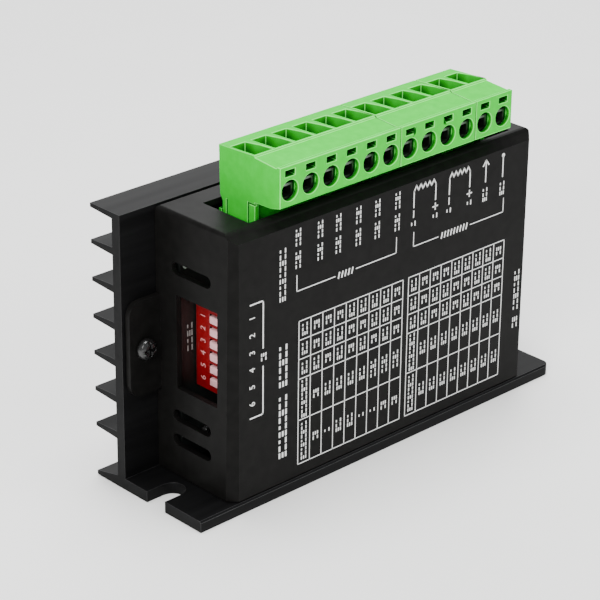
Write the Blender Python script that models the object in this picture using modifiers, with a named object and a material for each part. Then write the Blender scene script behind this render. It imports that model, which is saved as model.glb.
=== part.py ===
"""Stepper motor driver module: a finned heat sink that is also the mounting bracket, a sheet
cover over one circuit board, three pluggable terminal blocks along the top and a six-way
switch block behind a window in the left end.

Frame: +Z up, X along the length, the printed front face looks along -Y and the fins point
along +Y. The origin is the centre of the box around the whole module, at its base.
"""

import math

import bmesh
import bpy
from mathutils import Matrix, Vector

MM = 0.001
GAP = 0.3 * MM  # kept between pieces that rest on each other

# Heat sink: an L-shaped extrusion with fins on its back
LENGTH = 96 * MM
DEPTH = 30 * MM  # from the front of the plugs to the fin tips
HEIGHT = 56 * MM  # top of the heat sink and of the cover
PLUG_OVERHANG = 0.2 * MM
LEFT = -LENGTH / 2
RIGHT = LENGTH / 2
FRONT = -DEPTH / 2 + PLUG_OVERHANG  # front edge of the mounting leg
FIN_TIP_Y = DEPTH / 2
PLATE_FRONT_Y = FRONT + 21.5 * MM
PLATE_THICKNESS = 2.2 * MM
PLATE_BACK_Y = PLATE_FRONT_Y + PLATE_THICKNESS
LEG_THICKNESS = 2.3 * MM
LEG_CHAMFER = 0.35 * MM
LEG_CORNER_RADIUS = 1.6 * MM
FIN_PITCH = 7.5 * MM
LOWEST_FIN_Z = 10.9 * MM
MIDDLE_FINS = 6
FIN_ROOT = 1.5 * MM
FIN_TIP = 0.8 * MM
TOP_FIN_ROOT = 1.2 * MM

# Mounting notches, open at both ends of the leg, 88 mm apart
NOTCH_CENTRE_X = 4.0 * MM  # in from each end
NOTCH_CENTRE_Y = FRONT + 12.65 * MM
NOTCH_RADIUS = 2.55 * MM

# Cover: sheet steel, open at the back and at the bottom
EAR = 8.0 * MM
COVER_LEFT = LEFT + EAR
COVER_RIGHT = RIGHT - EAR
COVER_FRONT_Y = FRONT + 0.4 * MM
COVER_BACK_Y = PLATE_FRONT_Y - GAP
COVER_BOTTOM_Z = LEG_THICKNESS + GAP
WALL = 1.2 * MM
COVER_CHAMFER = 1.75 * MM
COVER_ROUNDING = 1.0 * MM
TAB_REACH = 7.4 * MM
TAB_LOW_Z = 19.4 * MM
TAB_HIGH_Z = 38.6 * MM
TAB_RADIUS = 2.6 * MM

# Openings in the cover
TOP_WINDOW_X = (LEFT + 15.0 * MM, LEFT + 83.8 * MM)
TOP_WINDOW_Y = (FRONT + 3.6 * MM, FRONT + 16.0 * MM)
SWITCH_WINDOW_Y = (FRONT + 4.5 * MM, FRONT + 15.5 * MM)
SWITCH_WINDOW_Z = (21.0 * MM, 40.0 * MM)
SLOT_Y = (FRONT + 6.2 * MM, FRONT + 16.8 * MM)
LIGHT_SLOT_Z = 45.2 * MM
VENT_SLOTS_Z = (15.3 * MM, 10.2 * MM)
SLOT_WIDTH = 2.4 * MM

# Screws that hold the cover and the board
SCREW_RADIUS = 1.25 * MM
SCREW_HOLE_RADIUS = SCREW_RADIUS + GAP
SCREW_HEAD_RADIUS = 2.1 * MM
SCREW_HEAD_HEIGHT = 1.5 * MM
COVER_SCREW_X = 4.0 * MM  # in from each end
COVER_SCREW_Z = (TAB_LOW_Z + TAB_HIGH_Z) / 2
BOARD_SCREW_X = 16.0 * MM
BOARD_SCREW_Z = 9.0 * MM
SPACER_RADIUS = 2.6 * MM

# Circuit board, parallel to the heat-sink plate
BOARD_FRONT_Y = FRONT + 16.4 * MM
BOARD_THICKNESS = 1.6 * MM
BOARD_BACK_Y = BOARD_FRONT_Y + BOARD_THICKNESS
BOARD_MARGIN = 1.8 * MM  # in from the outside of the cover's ends
BOARD_LOW_Z = 4.5 * MM
BOARD_HIGH_Z = 53.0 * MM

# Packages on the board: width, height and thickness, and their places from the left end
OPTOCOUPLER_SIZE = (4.6 * MM, 6.5 * MM, 3.5 * MM)
OPTOCOUPLERS_X = (25 * MM, 33 * MM, 41 * MM)
REGULATOR_SIZE = (6.5 * MM, 6.1 * MM, 2.3 * MM)
REGULATOR_PLACE = (30 * MM, 25 * MM)
RESISTOR_SIZE = (6.4 * MM, 3.2 * MM, 0.8 * MM)
RESISTORS_X = (51 * MM, 60 * MM)
UPPER_ROW_Z = 38 * MM
LIGHT_SIZE = (1.6 * MM, 1.2 * MM, 0.8 * MM)
LIGHTS_X = (10.9 * MM, 13.7 * MM)
CAPACITOR_RADIUS = 5.0 * MM
CAPACITOR_HEIGHT = 12.0 * MM
CAPACITORS_X = (62 * MM, 74 * MM)
CAPACITORS_Z = 24 * MM
CHIP_HALF = 8 * MM
CHIP_THICKNESS = 2.0 * MM
PAD_HALF = 7 * MM
PAD_THICKNESS = 0.5 * MM
CHIP_Z = 30 * MM

# Terminal blocks: twelve positions shared by plugs of six, four and two
PITCH = 5.08 * MM
PLUG_SIZES = (6, 4, 2)
TERMINALS_LEFT = LEFT + 18.9 * MM
SEAM = 0.16 * MM
HEADER_LOW_Z = 44.0 * MM
HEADER_HIGH_Z = 54.0 * MM
HEADER_FRONT_Y = FRONT + 5.4 * MM
HEADER_BACK_Y = FRONT + 16.1 * MM
HEADER_WALL = 0.8 * MM
HEADER_FLOOR = 1.5 * MM
PLUG_CLEARANCE = 0.2 * MM
PIN_SIDE = 1.0 * MM
PIN_Y = FRONT + 10.7 * MM
PIN_TOP_Z = 51.5 * MM
PIN_TAIL_Z = 46.3 * MM
PLUG_FRONT_Y = -DEPTH / 2
PLUG_BACK_Y = FRONT + 16.1 * MM
PLUG_BOTTOM_Z = 58.6 * MM
PLUG_TOP_Z = 66.9 * MM
PLUG_TOP_FALL = 0.5 * MM  # from the front of the top to its back
BASE_FRONT_Y = HEADER_FRONT_Y + HEADER_WALL + PLUG_CLEARANCE
BASE_BACK_Y = HEADER_BACK_Y - HEADER_WALL - PLUG_CLEARANCE
BASE_LOW_Z = 46.5 * MM

# Grooves in both ends of a plug's base: one outlines the latch rib, one is a plain slit
END_GROOVE_DEPTH = 0.45 * MM
END_GROOVE_WIDTH = 0.3 * MM
RIB_BACK_Y = FRONT + 8.0 * MM
RIB_TOP_Z = 57.5 * MM
SLIT_Y = FRONT + 13.75 * MM
SLIT_TOP_Z = 56.3 * MM

# Recess across the front of a plug's base, between a rib at each end
RIB_THICKNESS = 1.0 * MM
RECESS_DEPTH = 2.0 * MM
RECESS_TOP_Z = 58.2 * MM

# One terminal: a captive screw that lifts a cage against a fixed bar
SCREW_AXIS_Y = FRONT + 10.2 * MM
WIRE_HOLE_RADIUS = 2.0 * MM
WIRE_HOLE_Z = 61.6 * MM
PROBE_SLOT = (2.4 * MM, 1.2 * MM)
PROBE_SLOT_Z = 64.95 * MM
PROBE_SLOT_DEPTH = 2.4 * MM
WELL_Y = (FRONT + 7.0 * MM, FRONT + 13.4 * MM)
WELL_LEFT = -2.05 * MM  # from the screw's axis
WELL_RIGHT = 2.35 * MM  # at the front, where the wall to the next well is thinnest
WELL_RIGHT_BACK = 1.5 * MM
WELL_FLOOR_Z = 63.75 * MM
CHAMBER_HALF_WIDTH = 2.0 * MM
CHAMBER_Y = (PLUG_FRONT_Y + 1.0 * MM, FRONT + 12.8 * MM)
CHAMBER_Z = (59.2 * MM, 63.5 * MM)
CAGE_HALF_WIDTH = 1.75 * MM
CAGE_Y = (CHAMBER_Y[0] + GAP, FRONT + 12.2 * MM)
CAGE_Z = (59.5 * MM, 62.5 * MM)
CAGE_WALL = 0.5 * MM
CAGE_SIDE = 0.4 * MM
BAR_FRONT_Y = FRONT + 8.4 * MM
BAR_Z = (61.5 * MM, 61.85 * MM)
BAR_HALF_WIDTH = 1.0 * MM
TERMINAL_SHAFT_RADIUS = 1.1 * MM
TERMINAL_HOLE_RADIUS = 1.3 * MM
TERMINAL_SHAFT_END_Z = 62.0 * MM
TERMINAL_HEAD_Z = (63.9 * MM, 64.6 * MM)
TERMINAL_HEAD_RADIUS = 1.6 * MM
DRIVER_SLOT_DEPTH = 0.4 * MM

# Six-way switch block, its levers facing the left end
SWITCHES = 6
SWITCH_PITCH = 2.54 * MM
SWITCH_FACE_X = LEFT + 13.2 * MM
SWITCH_DEPTH = 4.8 * MM
SWITCH_WIDTH = 9.8 * MM
SWITCH_HEIGHT = 17.0 * MM
SWITCH_CENTRE_Z = 28.4 * MM
SWITCH_BACK_Y = BOARD_FRONT_Y - GAP
TRACK_Y = (SWITCH_BACK_Y - 8.6 * MM, SWITCH_BACK_Y - 3.8 * MM)
TRACK_HEIGHT = 2.0 * MM
TRACK_DEPTH = 1.3 * MM
LEVER_LENGTH = 2.4 * MM
LEVER_HEIGHT = 1.6 * MM
LEVER_PROUD = 0.4 * MM

COLOURS = {
    "anodised": ((0.012, 0.012, 0.013), 0.45, 0.4),
    "cover_paint": ((0.016, 0.016, 0.016), 0.5, 0.0),
    "screw_steel": ((0.05, 0.05, 0.05), 0.35, 0.9),
    "board": ((0.01, 0.012, 0.011), 0.4, 0.0),
    "terminal_green": ((0.12, 0.55, 0.1), 0.4, 0.0),
    "terminal_metal": ((0.55, 0.55, 0.52), 0.35, 1.0),
    "switch_red": ((0.6, 0.01, 0.01), 0.35, 0.0),
    "lever_white": ((0.8, 0.7, 0.68), 0.4, 0.0),
    "component_black": ((0.02, 0.02, 0.02), 0.5, 0.0),
    "capacitor_sleeve": ((0.02, 0.02, 0.03), 0.35, 0.0),
    "thermal_grey": ((0.35, 0.37, 0.4), 0.8, 0.0),
    "led_lens": ((0.75, 0.8, 0.75), 0.2, 0.0),
    "resistor_black": ((0.03, 0.03, 0.035), 0.4, 0.0),
    "spacer_metal": ((0.6, 0.55, 0.4), 0.4, 1.0),
}

# Directions that a flat outline can be extruded in, as the outline's x, y and normal
PLANES = {
    "X": Matrix(((0, 0, 1), (1, 0, 0), (0, 1, 0))).to_4x4(),
    "Y": Matrix(((1, 0, 0), (0, 0, -1), (0, 1, 0))).to_4x4(),
    "Z": Matrix.Identity(4),
}


def clear_scene():
    for obj in list(bpy.data.objects):
        bpy.data.objects.remove(obj)


def new_collection(name):
    collection = bpy.data.collections.new(name)
    bpy.context.scene.collection.children.link(collection)
    return collection


def new_material(name):
    colour, roughness, metallic = COLOURS[name]
    material = bpy.data.materials.new(name)
    material.use_nodes = True
    shader = material.node_tree.nodes["Principled BSDF"]
    shader.inputs["Base Color"].default_value = (*colour, 1.0)
    shader.inputs["Roughness"].default_value = roughness
    shader.inputs["Metallic"].default_value = metallic
    material.diffuse_color = (*colour, 1.0)
    return material


def place(name, mesh, collection, material=None, location=(0, 0, 0)):
    obj = bpy.data.objects.new(name, mesh)
    obj.location = location
    collection.objects.link(obj)
    if material:
        mesh.materials.clear()
        mesh.materials.append(material)
    return obj


def hide(obj):
    obj.hide_render = True
    obj.display_type = "WIRE"
    return obj


def box(name, xs, ys, zs, collection, material=None):
    """A box between two values on each axis, with its origin at its centre."""
    spans = (xs, ys, zs)
    bm = bmesh.new()
    bmesh.ops.create_cube(bm, size=1.0)
    bmesh.ops.scale(bm, verts=bm.verts, vec=[high - low for low, high in spans])
    mesh = bpy.data.meshes.new(name)
    bm.to_mesh(mesh)
    bm.free()
    return place(name, mesh, collection, material, [(low + high) / 2 for low, high in spans])


def cylinder(name, centre, axis, radius, length, collection, sides=20):
    """A cylinder along X, Y or Z, with its origin at its centre."""
    bm = bmesh.new()
    bmesh.ops.create_cone(bm, cap_ends=True, segments=sides, radius1=radius, radius2=radius,
                          depth=length)
    bmesh.ops.transform(bm, matrix=PLANES[axis], verts=bm.verts)
    mesh = bpy.data.meshes.new(name)
    bm.to_mesh(mesh)
    bm.free()
    shade_round(mesh)
    return place(name, mesh, collection, location=centre)


def shade_round(mesh):
    mesh.shade_smooth()
    mesh.set_sharp_from_angle(angle=math.radians(35))


def prism(name, outline, axis, low, high, collection, material=None):
    """A flat outline extruded along an axis from low to high.

    The outline is (y, z) for X, (x, z) for Y and (x, y) for Z.
    """
    curve = bpy.data.curves.new(name, "CURVE")
    curve.dimensions = "2D"
    curve.fill_mode = "BOTH"
    curve.extrude = (high - low) / 2
    spline = curve.splines.new("POLY")
    spline.points.add(len(outline) - 1)
    for point, (x, y) in zip(spline.points, outline):
        point.co = (x, y, 0.0, 1.0)
    spline.use_cyclic_u = True
    drawn = bpy.data.objects.new(name + "_outline", curve)
    bpy.context.scene.collection.objects.link(drawn)
    middle = Vector((0, 0, 0))
    middle["XYZ".index(axis)] = (low + high) / 2
    drawn.matrix_world = Matrix.Translation(middle) @ PLANES[axis]
    mesh = solid_mesh(drawn, name)
    obj = place(name, mesh, collection, material)
    obj.matrix_world = drawn.matrix_world
    bpy.data.objects.remove(drawn)
    return obj


def solid_mesh(source, name):
    """The evaluated mesh of an object, welded."""
    bpy.context.view_layer.update()
    graph = bpy.context.evaluated_depsgraph_get()
    mesh = bpy.data.meshes.new_from_object(source.evaluated_get(graph))
    mesh.name = name
    bm = bmesh.new()
    bm.from_mesh(mesh)
    bmesh.ops.remove_doubles(bm, verts=bm.verts, dist=1e-6)
    bmesh.ops.recalc_face_normals(bm, faces=bm.faces)
    bm.to_mesh(mesh)
    bm.free()
    return mesh


def turned(name, profile, collection, material=None, sides=20):
    """A turned solid about Z. The profile's (radius, z) points run from top to bottom."""
    mesh = bpy.data.meshes.new(name)
    edges = [(i, i + 1) for i in range(len(profile) - 1)]
    mesh.from_pydata([(radius, 0.0, z) for radius, z in profile], edges, [])
    obj = place(name, mesh, collection, material)
    screw = obj.modifiers.new("turn", "SCREW")
    screw.steps = sides
    screw.render_steps = sides
    screw.use_merge_vertices = True
    screw.merge_threshold = 1e-6
    screw.use_smooth_shade = False
    return obj


def boolean(obj, operation, collection):
    modifier = obj.modifiers.new(operation.lower(), "BOOLEAN")
    modifier.operation = operation
    modifier.operand_type = "COLLECTION"
    modifier.collection = collection
    modifier.solver = "EXACT"


def arc(centre, radius, start, end, steps):
    """Points on an arc, angles in degrees."""
    angles = [math.radians(start + (end - start) * i / steps) for i in range(steps + 1)]
    return [(centre[0] + radius * math.cos(a), centre[1] + radius * math.sin(a)) for a in angles]


def tool_group(name):
    """A collection for the helpers of one piece, inside the collection of all helpers."""
    group = bpy.data.collections.new(name)
    HELPERS.children.link(group)
    return group


def hide_all(group):
    for obj in group.objects:
        hide(obj)


def mirrored_x(x):
    return (LEFT + x, RIGHT - x)


# Heat sink


def heat_sink_outline():
    outline = [
        (FRONT, 0.0),
        (PLATE_BACK_Y, 0.0),
        (FIN_TIP_Y, 0.1 * MM),
        (FIN_TIP_Y, 0.1 * MM + FIN_TIP),
        (PLATE_BACK_Y, LEG_THICKNESS),
    ]
    for i in range(MIDDLE_FINS):
        z = LOWEST_FIN_Z + i * FIN_PITCH
        outline += [
            (PLATE_BACK_Y, z - FIN_ROOT / 2),
            (FIN_TIP_Y, z - FIN_TIP / 2),
            (FIN_TIP_Y, z + FIN_TIP / 2),
            (PLATE_BACK_Y, z + FIN_ROOT / 2),
        ]
    outline += [
        (PLATE_BACK_Y, HEIGHT - TOP_FIN_ROOT),
        (FIN_TIP_Y, HEIGHT - FIN_TIP),
        (FIN_TIP_Y, HEIGHT),
        (PLATE_FRONT_Y, HEIGHT),
        (PLATE_FRONT_Y, LEG_THICKNESS),
        (FRONT + LEG_CHAMFER, LEG_THICKNESS),
        (FRONT, LEG_THICKNESS - LEG_CHAMFER),
    ]
    return outline


def notch_outline(side):
    """An open-ended slot with a round inner end, at the left (-1) or the right (1)."""
    centre = (side * (RIGHT - NOTCH_CENTRE_X), NOTCH_CENTRE_Y)
    outside = side * (RIGHT + 2 * MM)
    middle = 180 if side > 0 else 0
    curve = arc(centre, NOTCH_RADIUS, middle - 90, middle + 90, 12)
    return [(outside, curve[0][1])] + curve + [(outside, curve[-1][1])]


def corner_outline():
    """What is cut from the leg's right front corner to round it."""
    centre = (RIGHT - LEG_CORNER_RADIUS, FRONT + LEG_CORNER_RADIUS)
    beyond = 1 * MM
    return arc(centre, LEG_CORNER_RADIUS, -90, 0, 5) + [
        (RIGHT + beyond, centre[1]),
        (RIGHT + beyond, FRONT - beyond),
        (centre[0], FRONT - beyond),
    ]


def make_heat_sink(parts):
    sink = prism("heat_sink", heat_sink_outline(), "X", LEFT, RIGHT, parts, MATERIALS["anodised"])
    cuts = tool_group("heat_sink_cuts")
    through = (-1 * MM, LEG_THICKNESS + 1 * MM)
    prism("notch_left", notch_outline(-1), "Z", *through, cuts)
    prism("notch_right", notch_outline(1), "Z", *through, cuts)
    prism("leg_corner", corner_outline(), "Z", *through, cuts)
    plate_middle = (PLATE_FRONT_Y + PLATE_BACK_Y) / 2
    places = [(x, COVER_SCREW_Z) for x in mirrored_x(COVER_SCREW_X)]
    places += [(x, BOARD_SCREW_Z) for x in mirrored_x(BOARD_SCREW_X)]
    for i, (x, z) in enumerate(places):
        cylinder(f"plate_hole_{i}", (x, plate_middle, z), "Y", SCREW_HOLE_RADIUS,
                 PLATE_THICKNESS + 2 * MM, cuts, sides=16)
    hide_all(cuts)
    boolean(sink, "DIFFERENCE", cuts)


# Cover


def chamfered_box(name, xs, ys, zs, chamfer, rounding, collection):
    """A box whose front is bevelled at the top and both sides, with its top side edges rounded."""
    obj = box(name, xs, ys, zs, collection)
    bm = bmesh.new()
    bm.from_mesh(obj.data)
    front = min(v.co.y for v in bm.verts)
    top = max(v.co.z for v in bm.verts)
    side = max(v.co.x for v in bm.verts)
    near = 1e-6
    edges = [
        e for e in bm.edges
        if all(abs(v.co.y - front) < near for v in e.verts)
        and any(abs(v.co.z - top) < near for v in e.verts)
    ]
    bmesh.ops.bevel(bm, geom=edges, offset=chamfer, segments=1, affect="EDGES")
    if rounding:
        edges = [
            e for e in bm.edges
            if all(abs(v.co.z - top) < near and abs(abs(v.co.x) - side) < near for v in e.verts)
        ]
        bmesh.ops.bevel(bm, geom=edges, offset=rounding, segments=5, profile=0.5, affect="EDGES")
    bm.to_mesh(obj.data)
    bm.free()
    return obj


def tab_outline(side):
    """A mounting tab beyond the cover's left (-1) or right (1) end, as (x, z)."""
    root = side * (COVER_RIGHT - 0.6 * MM)
    inner = side * (COVER_RIGHT + TAB_REACH - TAB_RADIUS)
    low = arc((inner, TAB_LOW_Z + TAB_RADIUS), TAB_RADIUS, -90, 0, 4)
    high = arc((inner, TAB_HIGH_Z - TAB_RADIUS), TAB_RADIUS, 0, 90, 4)
    if side < 0:
        low = [(2 * inner - x, z) for x, z in low]
        high = [(2 * inner - x, z) for x, z in high]
    return [(root, TAB_LOW_Z)] + low + high + [(root, TAB_HIGH_Z)]


def slot_outline(ys, z, width):
    """A slot with round ends, as (y, z)."""
    radius = width / 2
    right = arc((ys[1] - radius, z), radius, -90, 90, 12)
    left = arc((ys[0] + radius, z), radius, 90, 270, 12)
    return right + left


def make_cover(parts):
    cover = chamfered_box(
        "cover", (COVER_LEFT, COVER_RIGHT), (COVER_FRONT_Y, COVER_BACK_Y),
        (COVER_BOTTOM_Z, HEIGHT), COVER_CHAMFER, COVER_ROUNDING, parts)
    cover.data.materials.append(MATERIALS["cover_paint"])

    tabs = tool_group("cover_tabs")
    for name, side in (("tab_left", -1), ("tab_right", 1)):
        prism(name, tab_outline(side), "Y", COVER_BACK_Y - WALL, COVER_BACK_Y, tabs)
    hide_all(tabs)
    boolean(cover, "UNION", tabs)

    cuts = tool_group("cover_cuts")
    inner_chamfer = COVER_CHAMFER - WALL * (2 - math.sqrt(2))
    chamfered_box(
        "cover_inside", (COVER_LEFT + WALL, COVER_RIGHT - WALL),
        (COVER_FRONT_Y + WALL, COVER_BACK_Y + 5 * MM), (COVER_BOTTOM_Z - 5 * MM, HEIGHT - WALL),
        inner_chamfer, 0, cuts)
    box("top_window", TOP_WINDOW_X, TOP_WINDOW_Y, (HEIGHT - 3 * MM, HEIGHT + 1 * MM), cuts)
    left_wall = (COVER_LEFT - 1 * MM, COVER_LEFT + WALL + 1 * MM)
    right_wall = (COVER_RIGHT - WALL - 1 * MM, COVER_RIGHT + 1 * MM)
    box("switch_window", left_wall, SWITCH_WINDOW_Y, SWITCH_WINDOW_Z, cuts)
    prism("light_slot", slot_outline(SLOT_Y, LIGHT_SLOT_Z, SLOT_WIDTH), "X", *left_wall, cuts)
    for i, z in enumerate(VENT_SLOTS_Z):
        outline = slot_outline(SLOT_Y, z, SLOT_WIDTH)
        prism(f"vent_left_{i}", outline, "X", *left_wall, cuts)
        prism(f"vent_right_{i}", outline, "X", *right_wall, cuts)
    for i, x in enumerate(mirrored_x(COVER_SCREW_X)):
        cylinder(f"tab_hole_{i}", (x, COVER_BACK_Y - WALL / 2, COVER_SCREW_Z), "Y",
                 SCREW_HOLE_RADIUS, WALL + 2 * MM, cuts, sides=16)
    hide_all(cuts)
    boolean(cover, "DIFFERENCE", cuts)


# Fasteners


def screw_mesh(name, shaft_length):
    """A pan-head screw with a cross recess, its head's underside at z = 0 and its shaft below."""
    radius, height = SCREW_HEAD_RADIUS, SCREW_HEAD_HEIGHT
    profile = [
        (0.0, height),
        (0.6 * radius, height),
        (0.9 * radius, 0.72 * height),
        (radius, 0.35 * height),
        (radius, 0.0),
        (SCREW_RADIUS, 0.0),
        (SCREW_RADIUS, -shaft_length + 0.4 * MM),
        (SCREW_RADIUS - 0.4 * MM, -shaft_length),
        (0.0, -shaft_length),
    ]
    blank = turned(name + "_blank", profile, HELPERS, sides=20)
    recess = tool_group(name + "_recess")
    half, reach, floor = 0.33 * MM, 1.3 * MM, 0.5 * height
    above = (floor, height + 1 * MM)
    box(name + "_recess_a", (-half, half), (-reach, reach), above, recess)
    box(name + "_recess_b", (-reach, reach), (-half, half), above, recess)
    hide_all(recess)
    boolean(blank, "DIFFERENCE", recess)
    mesh = solid_mesh(blank, name)
    shade_round(mesh)
    mesh.materials.append(MATERIALS["screw_steel"])
    bpy.data.objects.remove(blank)
    return mesh


def place_facing_front(name, mesh, location, parts):
    """Turns a piece made along +Z so that its top faces the front."""
    obj = place(name, mesh, parts, location=location)
    obj.rotation_euler = (math.pi / 2, 0, 0)
    return obj


def make_fasteners(parts):
    tab_front = COVER_BACK_Y - WALL
    cover_mesh = screw_mesh("cover_screw", PLATE_BACK_Y - tab_front)
    for name, x in zip(("cover_screw_left", "cover_screw_right"), mirrored_x(COVER_SCREW_X)):
        place_facing_front(name, cover_mesh, (x, tab_front - GAP, COVER_SCREW_Z), parts)

    board_mesh = screw_mesh("board_screw", PLATE_BACK_Y - BOARD_FRONT_Y)
    names = ("board_screw_left", "board_screw_right")
    for name, x in zip(names, mirrored_x(BOARD_SCREW_X)):
        place_facing_front(name, board_mesh, (x, BOARD_FRONT_Y - GAP, BOARD_SCREW_Z), parts)

    spacer_length = PLATE_FRONT_Y - BOARD_BACK_Y - 2 * GAP
    inner = SCREW_HOLE_RADIUS
    half = spacer_length / 2
    profile = [(inner, half), (SPACER_RADIUS, half), (SPACER_RADIUS, -half), (inner, -half),
               (inner, half)]
    middle = (PLATE_FRONT_Y + BOARD_BACK_Y) / 2
    names = ("board_spacer_left", "board_spacer_right")
    for name, x in zip(names, mirrored_x(BOARD_SCREW_X)):
        spacer = turned(name, profile, parts, MATERIALS["spacer_metal"], sides=16)
        spacer.location = (x, middle, BOARD_SCREW_Z)
        spacer.rotation_euler = (math.pi / 2, 0, 0)


# Circuit board and what is soldered to it


def make_board(parts):
    xs = (COVER_LEFT + BOARD_MARGIN, COVER_RIGHT - BOARD_MARGIN)
    board = box("main_board", xs, (BOARD_FRONT_Y, BOARD_BACK_Y), (BOARD_LOW_Z, BOARD_HIGH_Z),
                parts, MATERIALS["board"])
    cuts = tool_group("board_cuts")
    middle = (BOARD_FRONT_Y + BOARD_BACK_Y) / 2
    for i, x in enumerate(mirrored_x(BOARD_SCREW_X)):
        cylinder(f"board_hole_{i}", (x, middle, BOARD_SCREW_Z), "Y", SCREW_HOLE_RADIUS,
                 BOARD_THICKNESS + 2 * MM, cuts, sides=16)
    side = PIN_SIDE / 2 + GAP
    for i in range(sum(PLUG_SIZES)):
        x = terminal_x(i)
        box(f"pin_hole_{i}", (x - side, x + side),
            (BOARD_FRONT_Y - 1 * MM, BOARD_BACK_Y + 1 * MM),
            (PIN_TAIL_Z - side, PIN_TAIL_Z + side), cuts)
    hide_all(cuts)
    boolean(board, "DIFFERENCE", cuts)


def on_board(name, x, z, size, parts, material):
    """A flat package on the front of the board, centred at x and z from the left end."""
    width, height, thickness = size
    back = BOARD_FRONT_Y - GAP
    centre = LEFT + x
    return box(name, (centre - width / 2, centre + width / 2), (back - thickness, back),
               (z - height / 2, z + height / 2), parts, MATERIALS[material])


def make_chip(parts):
    """The driver chip on the back of the board, and the pad between it and the heat sink."""
    chip_back = BOARD_BACK_Y + GAP
    box("driver_chip", (-CHIP_HALF, CHIP_HALF), (chip_back, chip_back + CHIP_THICKNESS),
        (CHIP_Z - CHIP_HALF, CHIP_Z + CHIP_HALF), parts, MATERIALS["component_black"])
    pad_back = PLATE_FRONT_Y - GAP
    box("thermal_pad", (-PAD_HALF, PAD_HALF), (pad_back - PAD_THICKNESS, pad_back),
        (CHIP_Z - PAD_HALF, CHIP_Z + PAD_HALF), parts, MATERIALS["thermal_grey"])


def make_capacitors(parts):
    """Two cans that point at the front, each with a groove near its foot."""
    radius, height = CAPACITOR_RADIUS, CAPACITOR_HEIGHT
    rounding = 0.5 * MM
    groove = 0.4 * MM
    profile = [
        (0.0, height),
        (radius - rounding, height),
        (radius, height - rounding),
        (radius, 6 * groove),
        (radius - groove, 5 * groove),
        (radius - groove, 4 * groove),
        (radius, 3 * groove),
        (radius, 0.0),
        (0.0, 0.0),
    ]
    for i, x in enumerate(CAPACITORS_X):
        can = turned(f"capacitor_{i + 1}", profile, parts, MATERIALS["capacitor_sleeve"], sides=24)
        can.location = (LEFT + x, BOARD_FRONT_Y - GAP, CAPACITORS_Z)
        can.rotation_euler = (math.pi / 2, 0, 0)


def make_components(parts):
    make_chip(parts)
    make_capacitors(parts)
    for i, x in enumerate(OPTOCOUPLERS_X):
        on_board(f"optocoupler_{i + 1}", x, UPPER_ROW_Z, OPTOCOUPLER_SIZE, parts,
                 "component_black")
    on_board("regulator", *REGULATOR_PLACE, REGULATOR_SIZE, parts, "component_black")
    for i, x in enumerate(RESISTORS_X):
        on_board(f"sense_resistor_{i + 1}", x, UPPER_ROW_Z, RESISTOR_SIZE, parts,
                 "resistor_black")
    for name, x in zip(("power_led", "alarm_led"), LIGHTS_X):
        on_board(name, x, LIGHT_SLOT_Z, LIGHT_SIZE, parts, "led_lens")


# Switch block


def switch_z(i):
    """Height of lever i, counted from the top."""
    return SWITCH_CENTRE_Z + SWITCH_PITCH * ((SWITCHES - 1) / 2 - i)


def make_switch(parts):
    half = SWITCH_HEIGHT / 2
    body = box("dip_switch", (SWITCH_FACE_X, SWITCH_FACE_X + SWITCH_DEPTH),
               (SWITCH_BACK_Y - SWITCH_WIDTH, SWITCH_BACK_Y),
               (SWITCH_CENTRE_Z - half, SWITCH_CENTRE_Z + half), parts, MATERIALS["switch_red"])
    tracks = tool_group("switch_tracks")
    for i in range(SWITCHES):
        z = switch_z(i)
        box(f"track_{i}", (SWITCH_FACE_X - 1 * MM, SWITCH_FACE_X + TRACK_DEPTH), TRACK_Y,
            (z - TRACK_HEIGHT / 2, z + TRACK_HEIGHT / 2), tracks)
    hide_all(tracks)
    boolean(body, "DIFFERENCE", tracks)

    rest_y = TRACK_Y[1] - GAP
    lever_x = (SWITCH_FACE_X - LEVER_PROUD, SWITCH_FACE_X + TRACK_DEPTH - GAP)
    for i in range(SWITCHES):
        z = switch_z(i)
        box(f"dip_lever_{i + 1}", lever_x, (rest_y - LEVER_LENGTH, rest_y),
            (z - LEVER_HEIGHT / 2, z + LEVER_HEIGHT / 2), parts, MATERIALS["lever_white"])


# Terminal blocks


def terminal_x(i):
    """Middle of terminal i, counted from the left."""
    return TERMINALS_LEFT + PITCH * (i + 0.5)


def header_outline():
    """A channel that is open at the top, as (y, z)."""
    inner_front = HEADER_FRONT_Y + HEADER_WALL
    inner_back = HEADER_BACK_Y - HEADER_WALL
    floor = HEADER_LOW_Z + HEADER_FLOOR
    return [
        (HEADER_FRONT_Y, HEADER_LOW_Z),
        (HEADER_BACK_Y, HEADER_LOW_Z),
        (HEADER_BACK_Y, HEADER_HIGH_Z),
        (inner_back, HEADER_HIGH_Z),
        (inner_back, floor),
        (inner_front, floor),
        (inner_front, HEADER_HIGH_Z),
        (HEADER_FRONT_Y, HEADER_HIGH_Z),
    ]


def make_header(name, first, count, parts):
    low = TERMINALS_LEFT + PITCH * first + SEAM / 2
    high = TERMINALS_LEFT + PITCH * (first + count) - SEAM / 2
    header = prism(name, header_outline(), "X", low, high, parts, MATERIALS["terminal_green"])
    pins = tool_group(name + "_pins")
    half = PIN_SIDE / 2
    for i in range(first, first + count):
        x = (terminal_x(i) - half, terminal_x(i) + half)
        box(f"{name}_pin_{i}", x, (PIN_Y - half, PIN_Y + half),
            (HEADER_LOW_Z + 0.5 * MM, PIN_TOP_Z), pins)
        box(f"{name}_tail_{i}", x, (HEADER_BACK_Y - 0.5 * MM, BOARD_BACK_Y + 0.9 * MM),
            (PIN_TAIL_Z - half, PIN_TAIL_Z + half), pins)
    hide_all(pins)
    boolean(header, "UNION", pins)


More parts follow.
